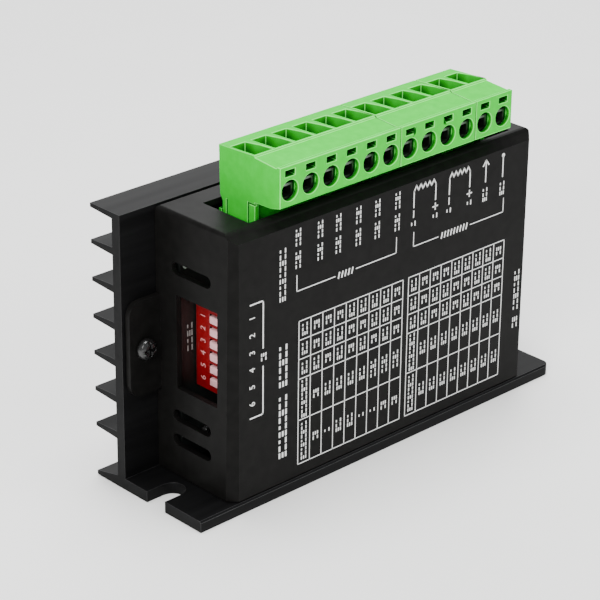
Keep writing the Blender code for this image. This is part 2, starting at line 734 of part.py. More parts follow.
def plug_outline():
    """Side view of a plug, as (y, z): a raised rim over the screws, a slope in front of it and
    a narrower base that goes down into the header."""
    return [
        (PLUG_FRONT_Y, PLUG_BOTTOM_Z),
        (FRONT + 2.0 * MM, PLUG_BOTTOM_Z - 0.6 * MM),
        (BASE_FRONT_Y, PLUG_BOTTOM_Z - 0.8 * MM),
        (BASE_FRONT_Y, BASE_LOW_Z),
        (BASE_BACK_Y, BASE_LOW_Z),
        (BASE_BACK_Y, PLUG_BOTTOM_Z - 2.9 * MM),
        (PLUG_BACK_Y - 0.3 * MM, PLUG_BOTTOM_Z - 1.7 * MM),
        (PLUG_BACK_Y, PLUG_TOP_Z - PLUG_TOP_FALL),
        (FRONT + 6.5 * MM, PLUG_TOP_Z),
        (FRONT + 6.4 * MM, PLUG_TOP_Z - 0.35 * MM),
        (FRONT + 0.9 * MM, PLUG_TOP_Z - 0.8 * MM),
        (FRONT + 0.6 * MM, PLUG_TOP_Z - 0.5 * MM),
        (PLUG_FRONT_Y, PLUG_TOP_Z - 0.5 * MM),
    ]


def well_outline(x):
    """Plan of a screw well as (x, y): straight at the left, flaring to the front at the right."""
    front, back = WELL_Y
    middle = (front + back) / 2
    bulge = 0.25 * MM
    return [
        (x + WELL_LEFT, front),
        (x + WELL_RIGHT, front),
        (x + (WELL_RIGHT + WELL_RIGHT_BACK) / 2 + bulge, middle),
        (x + WELL_RIGHT_BACK, back),
        (x + WELL_LEFT, back),
    ]


def cut_terminal(name, x, cuts):
    """The screw well, the clamping chamber, the hole between them, the wire hole, the small
    probe slot and the slot for the header's pin."""
    prism(name + "_well", well_outline(x), "Z", WELL_FLOOR_Z, PLUG_TOP_Z + 1 * MM, cuts)
    cylinder(name + "_shaft", (x, SCREW_AXIS_Y, CHAMBER_Z[1]), "Z", TERMINAL_HOLE_RADIUS,
             1.5 * MM, cuts, sides=12)
    wide = CHAMBER_HALF_WIDTH
    box(name + "_chamber", (x - wide, x + wide), CHAMBER_Y, CHAMBER_Z, cuts)
    hole_start = PLUG_FRONT_Y - 1 * MM
    hole_end = CHAMBER_Y[0] + 0.5 * MM
    cylinder(name + "_wire", (x, (hole_start + hole_end) / 2, WIRE_HOLE_Z), "Y",
             WIRE_HOLE_RADIUS, hole_end - hole_start, cuts, sides=28)
    width, height = PROBE_SLOT
    box(name + "_probe", (x - width / 2, x + width / 2),
        (PLUG_FRONT_Y - 1 * MM, PLUG_FRONT_Y + PROBE_SLOT_DEPTH),
        (PROBE_SLOT_Z - height / 2, PROBE_SLOT_Z + height / 2), cuts)
    side = PIN_SIDE / 2 + GAP
    box(name + "_pin", (x - side, x + side), (PIN_Y - side, PIN_Y + side),
        (BASE_LOW_Z - 1 * MM, PIN_TOP_Z + 0.6 * MM), cuts)


def cut_end_grooves(name, low, high, cuts):
    """The grooves in the left and right ends of a plug's base."""
    below = BASE_LOW_Z - 1 * MM
    behind_rib = (RIB_BACK_Y, RIB_BACK_Y + END_GROOVE_WIDTH)
    over_rib = (BASE_FRONT_Y - 1 * MM, RIB_BACK_Y + END_GROOVE_WIDTH)
    ends = {
        "left": (low - 1 * MM, low + END_GROOVE_DEPTH),
        "right": (high - END_GROOVE_DEPTH, high + 1 * MM),
    }
    for side, xs in ends.items():
        box(f"{name}_rib_{side}", xs, behind_rib, (below, RIB_TOP_Z), cuts)
        box(f"{name}_rib_top_{side}", xs, over_rib, (RIB_TOP_Z - END_GROOVE_WIDTH, RIB_TOP_Z),
            cuts)
        box(f"{name}_slit_{side}", xs, (SLIT_Y, SLIT_Y + END_GROOVE_WIDTH),
            (below, SLIT_TOP_Z), cuts)


def make_plug(name, first, count, parts):
    low = TERMINALS_LEFT + PITCH * first + SEAM / 2
    high = TERMINALS_LEFT + PITCH * (first + count) - SEAM / 2
    plug = prism(name, plug_outline(), "X", low, high, parts, MATERIALS["terminal_green"])
    cuts = tool_group(name + "_cuts")
    bars = tool_group(name + "_bars")
    for i in range(first, first + count):
        x = terminal_x(i)
        cut_terminal(f"{name}_{i}", x, cuts)
        box(f"{name}_bar_{i}", (x - BAR_HALF_WIDTH, x + BAR_HALF_WIDTH),
            (BAR_FRONT_Y, CHAMBER_Y[1] + 0.5 * MM), BAR_Z, bars)
    cut_end_grooves(name, low, high, cuts)
    box(name + "_recess", (low + RIB_THICKNESS, high - RIB_THICKNESS),
        (BASE_FRONT_Y - 1 * MM, BASE_FRONT_Y + RECESS_DEPTH), (BASE_LOW_Z - 1 * MM, RECESS_TOP_Z),
        cuts)
    hide_all(cuts)
    hide_all(bars)
    boolean(plug, "DIFFERENCE", cuts)
    boolean(plug, "UNION", bars)


def terminal_screw_mesh():
    """A slotted screw about its own axis, at its real height."""
    shaft, head = TERMINAL_SHAFT_RADIUS, TERMINAL_HEAD_RADIUS
    bottom, top = TERMINAL_HEAD_Z
    profile = [
        (0.0, top),
        (head - 0.15 * MM, top),
        (head, top - 0.15 * MM),
        (head, bottom),
        (shaft, bottom),
        (shaft, TERMINAL_SHAFT_END_Z),
        (0.0, TERMINAL_SHAFT_END_Z),
    ]
    blank = turned("terminal_screw_blank", profile, HELPERS, sides=16)
    slot = tool_group("terminal_screw_slot")
    half, reach = 0.3 * MM, head + 1 * MM
    box("driver_slot", (-reach, reach), (-half, half),
        (top - DRIVER_SLOT_DEPTH, top + 1 * MM), slot)
    hide_all(slot)
    boolean(blank, "DIFFERENCE", slot)
    mesh = solid_mesh(blank, "terminal_screw")
    shade_round(mesh)
    mesh.materials.append(MATERIALS["terminal_metal"])
    bpy.data.objects.remove(blank)
    return mesh


def cage_mesh():
    """A clamping cage about its screw's axis, open from front to back for the wire."""
    front, back = (y - SCREW_AXIS_Y for y in CAGE_Y)
    blank = box("wire_clamp_blank", (-CAGE_HALF_WIDTH, CAGE_HALF_WIDTH), (front, back), CAGE_Z,
                HELPERS)
    cuts = tool_group("wire_clamp_cuts")
    inner = CAGE_HALF_WIDTH - CAGE_SIDE
    box("cage_tunnel", (-inner, inner), (front - 1 * MM, back + 1 * MM),
        (CAGE_Z[0] + CAGE_WALL, CAGE_Z[1] - CAGE_WALL), cuts)
    cylinder("cage_thread", (0, 0, CAGE_Z[1]), "Z", TERMINAL_HOLE_RADIUS, 2 * CAGE_WALL + 1 * MM,
             cuts, sides=12)
    hide_all(cuts)
    boolean(blank, "DIFFERENCE", cuts)
    mesh = solid_mesh(blank, "wire_clamp")
    mesh.transform(Matrix.Translation(blank.location))
    mesh.materials.append(MATERIALS["terminal_metal"])
    bpy.data.objects.remove(blank)
    return mesh


def make_terminals(parts):
    first = 0
    for count in PLUG_SIZES:
        make_header(f"header_{count}", first, count, parts)
        make_plug(f"plug_{count}", first, count, parts)
        first += count
    screw = terminal_screw_mesh()
    cage = cage_mesh()
    for i in range(sum(PLUG_SIZES)):
        place(f"terminal_screw_{i + 1:02d}", screw, parts, location=(terminal_x(i), SCREW_AXIS_Y, 0))
        place(f"wire_clamp_{i + 1:02d}", cage, parts, location=(terminal_x(i), SCREW_AXIS_Y, 0))


clear_scene()
MODULE = new_collection("stepper_driver_module")
HELPERS = new_collection("cutters")
HELPERS.hide_render = True
MATERIALS = {name: new_material(name) for name in COLOURS}

make_heat_sink(MODULE)
make_cover(MODULE)
make_fasteners(MODULE)
make_board(MODULE)
make_components(MODULE)
make_switch(MODULE)
make_terminals(MODULE)
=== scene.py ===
"""The looks of the stepper driver module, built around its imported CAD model.

Every CAD node is kept and gets fine bevelled edges and a procedural material. The print on the
cover, the marks on the switch block and the board, and the solder joints are added here.
"""

import math

import bmesh
import bpy
from mathutils import Matrix, Vector


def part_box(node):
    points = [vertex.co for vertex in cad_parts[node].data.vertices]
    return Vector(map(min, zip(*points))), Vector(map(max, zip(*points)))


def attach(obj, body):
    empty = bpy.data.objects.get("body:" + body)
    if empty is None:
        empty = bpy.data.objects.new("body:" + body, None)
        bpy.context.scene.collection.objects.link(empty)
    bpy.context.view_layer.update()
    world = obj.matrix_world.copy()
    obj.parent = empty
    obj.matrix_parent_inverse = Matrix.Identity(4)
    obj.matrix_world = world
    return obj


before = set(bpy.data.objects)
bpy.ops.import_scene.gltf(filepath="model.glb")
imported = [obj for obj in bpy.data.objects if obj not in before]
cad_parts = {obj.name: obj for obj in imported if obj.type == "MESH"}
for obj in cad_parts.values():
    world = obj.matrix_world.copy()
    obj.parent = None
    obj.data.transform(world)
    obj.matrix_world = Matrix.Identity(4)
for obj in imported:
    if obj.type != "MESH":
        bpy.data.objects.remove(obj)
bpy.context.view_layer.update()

MM = 0.001
SINK_LOW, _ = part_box("heat_sink")
COVER_LOW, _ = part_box("cover")
SWITCH_LOW, SWITCH_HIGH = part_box("dip_switch")
BOARD_LOW, BOARD_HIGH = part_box("main_board")
TERMINALS = 12
SWITCHES = 6
INK = 0.03 * MM  # how far print stands above its surface
THIN_LINE = 0.27 * MM
RULE = 0.18 * MM
BOLD_LINE = 0.42 * MM
DIGIT_SIZE = 1.9 * MM


def from_corner(x, z):
    """Millimetres from the left end and above the base, as metres across the cover's front."""
    return (SINK_LOW.x + x * MM, z * MM)


def across(x):
    """Millimetres from the left end, as metres across the cover's front."""
    return from_corner(x, 0)[0]


def upright_face(outward, corner):
    """Turns across, up and outwards on an upright face into the frame's axes.

    outward is the direction that the face looks in, and corner is any point on it.
    """
    outward = Vector(outward)
    up = Vector((0, 0, 1))
    turn = Matrix((up.cross(outward), up, outward)).transposed().to_4x4()
    return Matrix.Translation(outward * outward.dot(corner)) @ turn


COVER_FACE = upright_face((0, -1, 0), COVER_LOW)
SWITCH_FACE = upright_face((-1, 0, 0), SWITCH_LOW)
BOARD_FACE = upright_face((0, -1, 0), BOARD_LOW)
BOARD_BACK = upright_face((0, 1, 0), BOARD_HIGH)


# Materials


def link(tree, source, output, target, value):
    tree.links.new(source.outputs[output], target.inputs[value])


def noise(tree, coordinates, scale, detail=3.0):
    node = tree.nodes.new("ShaderNodeTexNoise")
    node.inputs["Scale"].default_value = scale
    node.inputs["Detail"].default_value = detail
    tree.links.new(coordinates, node.inputs["Vector"])
    return node


def remap(tree, source, output, old_span, new_span):
    """Stretches a value from one span to another, and stops at the ends of the new one."""
    node = tree.nodes.new("ShaderNodeMapRange")
    for end, value in zip(("From Min", "From Max", "To Min", "To Max"), (*old_span, *new_span)):
        node.inputs[end].default_value = value
    link(tree, source, output, node, "Value")
    return node


# A mix node has sockets of the same name for each kind of data. These are its colours.
MIX_COLOUR_A = 6
MIX_COLOUR_B = 7
MIX_COLOUR_RESULT = 2
NOISE_SPAN = (0.3, 0.7)  # where most of a noise texture's values lie
# Painted shade: colour is darkened in hollow places, where shade falls, by how open each place
# is.
HOLLOW_SPAN = (0.30, 0.85)  # openness of a deep hollow, and of a place that counts as open
HOLLOW_SHADE = (0.10, 1.0)  # what is left of the colour in each
HOLLOW_SAMPLES = 8


def darker_hollows(tree, colour, reach):
    """Paints shade into hollow places: multiplies a colour by how open its place is."""
    openness = tree.nodes.new("ShaderNodeAmbientOcclusion")
    openness.samples = HOLLOW_SAMPLES
    openness.inputs["Distance"].default_value = reach
    shade = remap(tree, openness, "AO", HOLLOW_SPAN, HOLLOW_SHADE)
    product = tree.nodes.new("ShaderNodeMix")
    product.data_type = "RGBA"
    product.blend_type = "MULTIPLY"
    product.inputs["Factor"].default_value = 1.0
    link(tree, colour, "Color", product, MIX_COLOUR_A)
    link(tree, shade, "Result", product, MIX_COLOUR_B)
    return product


def varied_colour(tree, spot, grain, dark, light):
    ramp = tree.nodes.new("ShaderNodeValToRGB")
    for element, position, colour in zip(ramp.color_ramp.elements, NOISE_SPAN, (dark, light)):
        element.position = position
        element.color = (*colour, 1)
    link(tree, noise(tree, spot, grain), "Fac", ramp, "Fac")
    return ramp


def relief(tree, spot, scale, depth):
    raised = tree.nodes.new("ShaderNodeBump")
    raised.inputs["Distance"].default_value = depth
    raised.inputs["Strength"].default_value = 1.0
    link(tree, noise(tree, spot, scale, detail=2.0), "Fac", raised, "Height")
    return raised


BROAD = 6  # how many times broader the patches of roughness are than the grain of the colour


def new_material(name, dark, light, roughness, metallic=0.0, grain=900, stretch=(1, 1, 1),
                 bump=0.0, bump_scale=2500, coat=0.0, specular=0.5, painted_shade_reach=None):
    """A material whose colour and roughness, and relief if it has any, vary from place to place.

    dark and light are the ends of the colour variation, and roughness is its lowest and highest.
    painted_shade_reach is how far apart surfaces can face each other and still get painted shade.
    """
    material = bpy.data.materials.new(name)
    material.use_nodes = True
    tree = material.node_tree
    shader = tree.nodes["Principled BSDF"]
    shader.inputs["Metallic"].default_value = metallic
    shader.inputs["Coat Weight"].default_value = coat
    shader.inputs["Specular IOR Level"].default_value = specular

    place = tree.nodes.new("ShaderNodeTexCoord")
    mapping = tree.nodes.new("ShaderNodeMapping")
    mapping.inputs["Scale"].default_value = stretch
    link(tree, place, "Object", mapping, "Vector")
    spot = mapping.outputs["Vector"]

    colour = varied_colour(tree, spot, grain, dark, light)
    # The colour gets painted shade in its hollow places.
    if painted_shade_reach:
        painted_shade_colour = darker_hollows(tree, colour, painted_shade_reach)
        link(tree, painted_shade_colour, MIX_COLOUR_RESULT, shader, "Base Color")
    else:
        link(tree, colour, "Color", shader, "Base Color")
    patches = remap(tree, noise(tree, spot, grain / BROAD), "Fac", NOISE_SPAN, roughness)
    link(tree, patches, "Result", shader, "Roughness")
    if bump:
        link(tree, relief(tree, spot, bump_scale, bump), "Normal", shader, "Normal")
    return material


ALONG_X = (0.04, 1, 1)  # stretches grain into the streaks of an extrusion

LOOKS = {
    "anodised": dict(
        dark=(0.0038, 0.0038, 0.0040), light=(0.0064, 0.0064, 0.0067), roughness=(0.36, 0.46),
        grain=700, stretch=ALONG_X, bump=0.004 * MM, bump_scale=2200, specular=0.05),
    # Painted highlight: a lighter copy of the anodised colour for the bevelled edges.
    "anodised_edge_highlight": dict(
        dark=(0.020, 0.020, 0.021), light=(0.036, 0.036, 0.038), roughness=(0.32, 0.42),
        grain=500),
    "cover_paint": dict(
        dark=(0.0040, 0.0039, 0.0037), light=(0.0062, 0.0060, 0.0057), roughness=(0.38, 0.48),
        grain=500, bump=0.005 * MM, bump_scale=3800, specular=0.05),
    # Painted highlight: a lighter copy of the cover paint for the bevelled edges.
    "cover_edge_highlight": dict(
        dark=(0.012, 0.012, 0.011), light=(0.02, 0.02, 0.019), roughness=(0.34, 0.44),
        grain=500),
    "screw_steel": dict(
        dark=(0.004, 0.004, 0.004), light=(0.009, 0.009, 0.009), roughness=(0.20, 0.30),
        grain=1500, bump=0.002 * MM, specular=0.6),
    "board": dict(
        dark=(0.004, 0.005, 0.0045), light=(0.008, 0.010, 0.009), roughness=(0.35, 0.45),
        grain=1800, bump=0.004 * MM, bump_scale=3000),
    # painted_shade_reach paints shade into the wells, wire holes and recesses.
    "terminal_green": dict(
        dark=(0.011, 0.52, 0.022), light=(0.017, 0.58, 0.030), roughness=(0.50, 0.62),
        grain=600, bump=0.003 * MM, bump_scale=3200, specular=0.04, painted_shade_reach=4 * MM),
    # Painted highlight: a lighter copy of the terminal green for the bevelled edges, with painted
    # shade in hollow places.
    "terminal_edge_highlight": dict(
        dark=(0.11, 0.78, 0.10), light=(0.15, 0.84, 0.13), roughness=(0.40, 0.50),
        grain=600, specular=0.15, painted_shade_reach=2 * MM),
    "terminal_metal": dict(
        dark=(0.50, 0.50, 0.47), light=(0.66, 0.65, 0.61), roughness=(0.24, 0.38),
        metallic=1.0, grain=1600, bump=0.002 * MM),
    # Painted shade: a darker copy of the terminal metal for the clamps deep inside the wire
    # holes.
    "shaded_clamp_metal": dict(
        dark=(0.09, 0.11, 0.09), light=(0.15, 0.17, 0.15), roughness=(0.34, 0.48),
        metallic=1.0, grain=1600, bump=0.002 * MM),
    # Painted shade: the red is darkened for the shade inside the switch window, and
    # painted_shade_reach darkens its hollow places.
    "switch_red": dict(
        dark=(0.17, 0.001, 0.003), light=(0.22, 0.002, 0.005), roughness=(0.3, 0.4),
        grain=800, bump=0.002 * MM, specular=0.35, painted_shade_reach=1.5 * MM),
    # Painted reflection and shade: the white levers are tinted pink and darkened, for light off
    # the red block and the shade inside the window.
    "lever_white": dict(
        dark=(0.68, 0.35, 0.37), light=(0.80, 0.47, 0.49), roughness=(0.32, 0.42),
        grain=900, bump=0.002 * MM),
    "switch_mark": dict(
        dark=(0.62, 0.24, 0.24), light=(0.72, 0.34, 0.34), roughness=(0.4, 0.5),
        grain=900),
    "component_black": dict(
        dark=(0.015, 0.015, 0.015), light=(0.03, 0.03, 0.03), roughness=(0.45, 0.6),
        grain=2500, bump=0.006 * MM, bump_scale=6000),
    "capacitor_sleeve": dict(
        dark=(0.015, 0.015, 0.025), light=(0.025, 0.025, 0.04), roughness=(0.22, 0.32),
        grain=900, bump=0.003 * MM),
    "thermal_grey": dict(
        dark=(0.32, 0.34, 0.37), light=(0.42, 0.44, 0.47), roughness=(0.75, 0.9),
        grain=2200, bump=0.01 * MM),
    "led_lens": dict(
        dark=(0.20, 0.23, 0.20), light=(0.28, 0.32, 0.28), roughness=(0.12, 0.2),
        grain=700, coat=0.3),
    "resistor_black": dict(
        dark=(0.025, 0.025, 0.03), light=(0.04, 0.04, 0.046), roughness=(0.3, 0.42),
        grain=2000, bump=0.003 * MM),
    "spacer_metal": dict(
        dark=(0.58, 0.52, 0.38), light=(0.68, 0.62, 0.46), roughness=(0.3, 0.42),
        metallic=1.0, grain=1400, bump=0.002 * MM),
    "white_ink": dict(
        dark=(0.68, 0.68, 0.67), light=(0.80, 0.80, 0.79), roughness=(0.55, 0.7),
        grain=1400),
    "grey_ink": dict(
        dark=(0.22, 0.22, 0.21), light=(0.30, 0.30, 0.29), roughness=(0.5, 0.65),
        grain=1400),
    "solder": dict(
        dark=(0.60, 0.61, 0.62), light=(0.74, 0.75, 0.76), roughness=(0.18, 0.3),
        metallic=1.0, grain=2600, bump=0.004 * MM),
    "floor": dict(
        dark=(0.95, 0.95, 0.94), light=(0.97, 0.97, 0.96), roughness=(0.6, 0.7),
        grain=30),
}
MATERIALS = {name: new_material(name, **look) for name, look in LOOKS.items()}


# CAD nodes that are kept


WELD_DISTANCE = 0.001 * MM
FLAT_ANGLE = math.radians(0.5)  # faces that turn less than this are one flat area
EDGE_ANGLE = math.radians(32)  # edges that turn more than this are rounded
FLAT_FACES_LEAD = 100  # how strongly, in per cent, large faces set the shading at their edges


def refine(node, material, width, edge=None, segments=2, clamp=True, join=True):
    """Gives a CAD node its material and fine rounded edges, without touching its own mesh.

    clamp narrows every edge to what the node's smallest face allows, and join first makes one
    face of each flat area. edge is a lighter material for the bevels: a painted highlight.
    """
    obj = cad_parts[node]
    obj.data.materials.clear()
    obj.data.materials.append(MATERIALS[material])
    if edge:
        obj.data.materials.append(MATERIALS[edge])
    if "custom_normal" in obj.data.attributes:
        obj.data.attributes.remove(obj.data.attributes["custom_normal"])
    obj.data.shade_smooth()
    weld = obj.modifiers.new("weld", "WELD")
    weld.merge_threshold = WELD_DISTANCE
    if join:
        flat = obj.modifiers.new("flat_faces", "DECIMATE")
        flat.decimate_type = "DISSOLVE"
        flat.angle_limit = FLAT_ANGLE
    bevel = obj.modifiers.new("fine_edges", "BEVEL")
    bevel.width = width
    bevel.segments = segments
    bevel.limit_method = "ANGLE"
    bevel.angle_limit = EDGE_ANGLE
    bevel.use_clamp_overlap = clamp
    # The bevels take the edge material, a painted highlight along the edges.
    if edge:
        bevel.material = 1
    shading = obj.modifiers.new("even_shading", "WEIGHTED_NORMAL")
    shading.mode = "FACE_AREA"
    shading.weight = FLAT_FACES_LEAD


def numbered(name, count, digits=1):
    return [f"{name}_{i:0{digits}d}" for i in range(1, count + 1)]


def sided(name):
    return [f"{name}_left", f"{name}_right"]


def for_each_block(name):
    return [f"{name}_{count}" for count in (6, 4, 2)]


# The nodes, their material, the width of their rounded edges in millimetres, and the rest
KEPT_NODES = (
    (["heat_sink"], "anodised", 0.22, {"edge": "anodised_edge_highlight"}),
    (["cover"], "cover_paint", 0.20, {"edge": "cover_edge_highlight"}),
    (sided("cover_screw") + sided("board_screw"), "screw_steel", 0.08, {}),
    (sided("board_spacer"), "spacer_metal", 0.08, {}),
    (["main_board"], "board", 0.06, {}),
    (for_each_block("plug"), "terminal_green", 0.14, {"edge": "terminal_edge_highlight", "clamp": False}),
    (for_each_block("header"), "terminal_green", 0.10, {"edge": "terminal_edge_highlight"}),
    (numbered("terminal_screw", TERMINALS, digits=2), "terminal_metal", 0.06, {}),
    (numbered("wire_clamp", TERMINALS, digits=2), "shaded_clamp_metal", 0.04, {"join": False}),
    (["dip_switch"], "switch_red", 0.12, {}),
    (numbered("dip_lever", SWITCHES), "lever_white", 0.30, {"segments": 3}),
    (["driver_chip", "regulator", *numbered("optocoupler", 3)], "component_black", 0.15, {}),
    (numbered("capacitor", 2), "capacitor_sleeve", 0.10, {}),
    (numbered("sense_resistor", 2), "resistor_black", 0.10, {}),
    (["thermal_pad"], "thermal_grey", 0.08, {}),
    (["power_led", "alarm_led"], "led_lens", 0.10, {}),
)


def refine_cad():
    for nodes, material, width, options in KEPT_NODES:
        for node in nodes:
            refine(node, material, width * MM, **options)


# Shapes drawn on a surface


def new_piece(name, bm, material, body):
    """Makes an object of a bmesh that rides on a body."""
    mesh = bpy.data.meshes.new(name)
    bmesh.ops.recalc_face_normals(bm, faces=bm.faces)
    bm.to_mesh(mesh)
    bm.free()
    mesh.materials.append(MATERIALS[material])
    obj = bpy.data.objects.new(name, mesh)
    bpy.context.scene.collection.objects.link(obj)
    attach(obj, body)


def stroke(bm, surface, start, end, width, height=INK):
    """A straight raised line between two places on a surface."""
    start, end = Vector(start), Vector(end)
    along = end - start
    turn = Matrix.Rotation(math.atan2(along.y, along.x), 4, "Z")
    middle = (start + end) / 2
    size = Matrix.Diagonal((along.length, width, height, 1))
    place = Matrix.Translation((middle.x, middle.y, height / 2))
    bmesh.ops.create_cube(bm, size=1.0, matrix=surface @ place @ turn @ size)


def path(bm, surface, places, width, height=INK):
    """Straight raised lines joined end to end, each reaching half its width past its ends."""
    for start, end in zip(places, places[1:]):
        start, end = Vector(start), Vector(end)
        reach = (end - start).normalized() * width / 2
        stroke(bm, surface, start - reach, end + reach, width, height)


def disc(bm, surface, centre, radius, height=INK, sides=20):
    place = Matrix.Translation((centre[0], centre[1], height / 2))
    bmesh.ops.create_cone(bm, cap_ends=True, segments=sides, radius1=radius, radius2=radius,
                          depth=height, matrix=surface @ place)


def digit(bm, surface, text, centre, size, angle=0.0, height=INK):
    """One raised digit in Blender's own font, turned by an angle in degrees."""
    curve = bpy.data.curves.new("digit", "FONT")
    curve.body = text
    curve.size = size
    curve.extrude = height / 2
    curve.align_x = "CENTER"
    curve.align_y = "CENTER"
    obj = bpy.data.objects.new("digit", curve)
    bpy.context.scene.collection.objects.link(obj)
    bpy.context.view_layer.update()
    graph = bpy.context.evaluated_depsgraph_get()
    mesh = bpy.data.meshes.new_from_object(obj.evaluated_get(graph))
    place = Matrix.Translation((centre[0], centre[1], height / 2))
    mesh.transform(surface @ place @ Matrix.Rotation(math.radians(angle), 4, "Z"))
    bm.from_mesh(mesh)
    bpy.data.objects.remove(obj)
    bpy.data.meshes.remove(mesh)


DASH_REACH = 0.38  # half a dash's length, in letter pitches
SHORT_REACH = 0.24


def marks(bm, surface, base, start, letters, height, pitch, weight=THIN_LINE):
    """A word that reads upwards, as a small stack of dashes for each of its letters.

    The dashes only show where printing is, and can't be read: how tall each stack is follows a
    rule and says nothing. base is how far across the lowest dashes lie, and the stacks rise from
    it to the left.
    """
    for i in range(letters):
        middle = start + pitch * (i + 0.5)
        tall = (i * 5 + letters * 2) % 3 == 0
        count = 3 if tall else 2
        for row in range(count):
            x = base - weight / 2 - (height - weight) * row / (count - 1)
            short = not tall and row == 1 and (i + letters) % 2
            reach = (SHORT_REACH if short else DASH_REACH) * pitch
            stroke(bm, surface, (x, middle - reach), (x, middle + reach), weight)


def words(bm, surface, base, low, high, counts, height, weight=THIN_LINE):
    """Words between two heights, spaced so that they just fill the way."""
    places = sum(counts) + len(counts) - 1
    pitch = (high - low) / places
    start = low
    for letters in counts:
        marks(bm, surface, base, start, letters, height, pitch, weight)
        start += (letters + 1) * pitch


# Print on the cover. Its places are in millimetres from the left end and above the base.


def line(bm, places, width=THIN_LINE):
    path(bm, COVER_FACE, [from_corner(*place) for place in places], width)


TABLE_ROWS = (4.95, 14.2, 22.8, 26.85, 30.8, 34.7)
TABLE_COLUMNS = 9
TABLES = (
    {"span": (24.5, 51.7), "values": ((9, 2, 1, 3, 3, 1, 1, 2, 2), (9, 2, 3, 3, 3, 3, 4, 4, 4))},
    {"span": (53.2, 80.2), "values": ((9, 3, 3, 3, 3, 3, 3, 3, 3), (9, 3, 3, 3, 3, 3, 3, 3, 3))},
)
VALUE_PITCH = 0.95 * MM
VALUE_HEIGHT = 1.35 * MM
HEADER_PITCH = 0.9 * MM


def print_table(bm, table):
    """A ruled table of two rows of values and three of switch settings, read upwards."""
    left, right = table["span"]
    width = (right - left) / TABLE_COLUMNS
    for z in TABLE_ROWS:
        line(bm, [(left, z), (right, z)], RULE)
    for i in range(TABLE_COLUMNS + 1):
        x = left + i * width
        line(bm, [(x, TABLE_ROWS[0]), (x, TABLE_ROWS[-1])], RULE)
    for i in range(TABLE_COLUMNS):
        base = across(left + (i + 0.5) * width) + VALUE_HEIGHT / 2
        header = i == 0
        counts = [row[i] for row in table["values"]]
        counts += [3 if header or (i >> bit) & 1 else 2 for bit in range(3)]
        pitch = HEADER_PITCH if header else VALUE_PITCH
        for letters, low, high in zip(counts, TABLE_ROWS, TABLE_ROWS[1:]):
            start = (low + high) / 2 * MM - letters * pitch / 2
            marks(bm, COVER_FACE, base, start, letters, VALUE_HEIGHT, pitch)


SWITCH_BAR_X = 15.6  # the bar beside the switch numbers
SWITCH_BAR_END_X = 12.5
SWITCH_BAR_PARTS = ((41.7, 32.3), (28.55, 18.85))  # above and below the word in its gap
SWITCH_WORD = {"x": 16.4, "z": 29.6, "letters": 2, "height": 1.3, "pitch": 0.85}
SWITCH_NUMBER_X = 13.0
SWITCH_NUMBERS_Z = (39.0, 21.7)  # the first and the last


def print_switch_numbers(bm):
    for high, low in SWITCH_BAR_PARTS:
        line(bm, [(SWITCH_BAR_X, high), (SWITCH_BAR_X, low)])
    for z in (SWITCH_BAR_PARTS[0][0], SWITCH_BAR_PARTS[-1][-1]):
        line(bm, [(SWITCH_BAR_X, z), (SWITCH_BAR_END_X, z)])
    marks(bm, COVER_FACE, across(SWITCH_WORD["x"]), SWITCH_WORD["z"] * MM, SWITCH_WORD["letters"],
          SWITCH_WORD["height"] * MM, SWITCH_WORD["pitch"] * MM)
    top, bottom = SWITCH_NUMBERS_Z
    for i in range(SWITCHES):
        z = top + (bottom - top) * i / (SWITCHES - 1)
        digit(bm, COVER_FACE, str(i + 1), from_corner(SWITCH_NUMBER_X, z), DIGIT_SIZE, angle=90)


# Lines of words: where their base is, the span they fill, their letters, height and weight
TITLE = (21.6, (7.7, 31.4), (9, 6), 2.0, BOLD_LINE)
LIGHTS_LABEL = (21.1, (39.9, 50.6), (9,), 1.5, THIN_LINE)
SUPPLY_RANGE = (85.3, (14, 27), (2, 7), 1.4, THIN_LINE)


def print_words(bm, x, span, counts, height, weight):
    low, high = span
    words(bm, COVER_FACE, across(x), low * MM, high * MM, counts, height * MM, weight)


# Brackets under the signal and power terminals: sides, bar, ends, gap, and the word in the gap
BRACKETS = (
    {"sides": (23.85, 49.55), "bar": 40.95, "ends": 44.1, "gap": (33.5, 39.0)},
    {"sides": (54.2, 79.4), "bar": 40.9, "ends": 43.8, "gap": (61.0, 70.0)},
)
BRACKET_WORDS = ((34.1, 38.4), (61.6, 69.4))
BRACKET_WORD_Z = (40.4, 41.4)
LETTER_PITCH = 0.85
LETTER_LEAN = 0.12
LETTER_LINE = 0.32 * MM


def print_bracket(bm, sides, bar, ends, gap):
    """A bracket that opens upwards, with a break in its bar for a word."""
    left, right = sides
    line(bm, [(left, ends), (left, bar), (gap[0], bar)], RULE)
    line(bm, [(gap[1], bar), (right, bar), (right, ends)], RULE)


def print_bracket_word(bm, low, high):
    """A word that reads across, as a row of leaning strokes."""
    count = round((high - low) / LETTER_PITCH)
    bottom, top = BRACKET_WORD_Z
    for i in range(count):
        x = low + (i + 0.5) * (high - low) / count
        line(bm, [(x - LETTER_LEAN, bottom), (x + LETTER_LEAN, top)], LETTER_LINE)


SIGNAL_NAMES_X = (24.1, 29.6, 34.2, 39.35, 44.3, 49.6)
SIGNAL_NAMES_Z = (45.4, 53.4)
NAME_HEIGHT = 1.25
NAME_SHIFT = 0.65  # from a name's middle to its base


def print_signal_names(bm):
    for x in SIGNAL_NAMES_X:
        print_words(bm, x + NAME_SHIFT, SIGNAL_NAMES_Z, (4, 4), NAME_HEIGHT, THIN_LINE)


WINDINGS = ((54.0, 59.9), (63.7, 69.4))
WINDING_Z = (49.0, 52.2)
WINDING_TURNS = 5
WINDING_RISE = 1.1
SIGN_Z = 47.6
SIGN_REACH = 0.6
LEAD_LETTER = {"z": 45.0, "shift": 0.6, "height": 1.2, "pitch": 1.3}


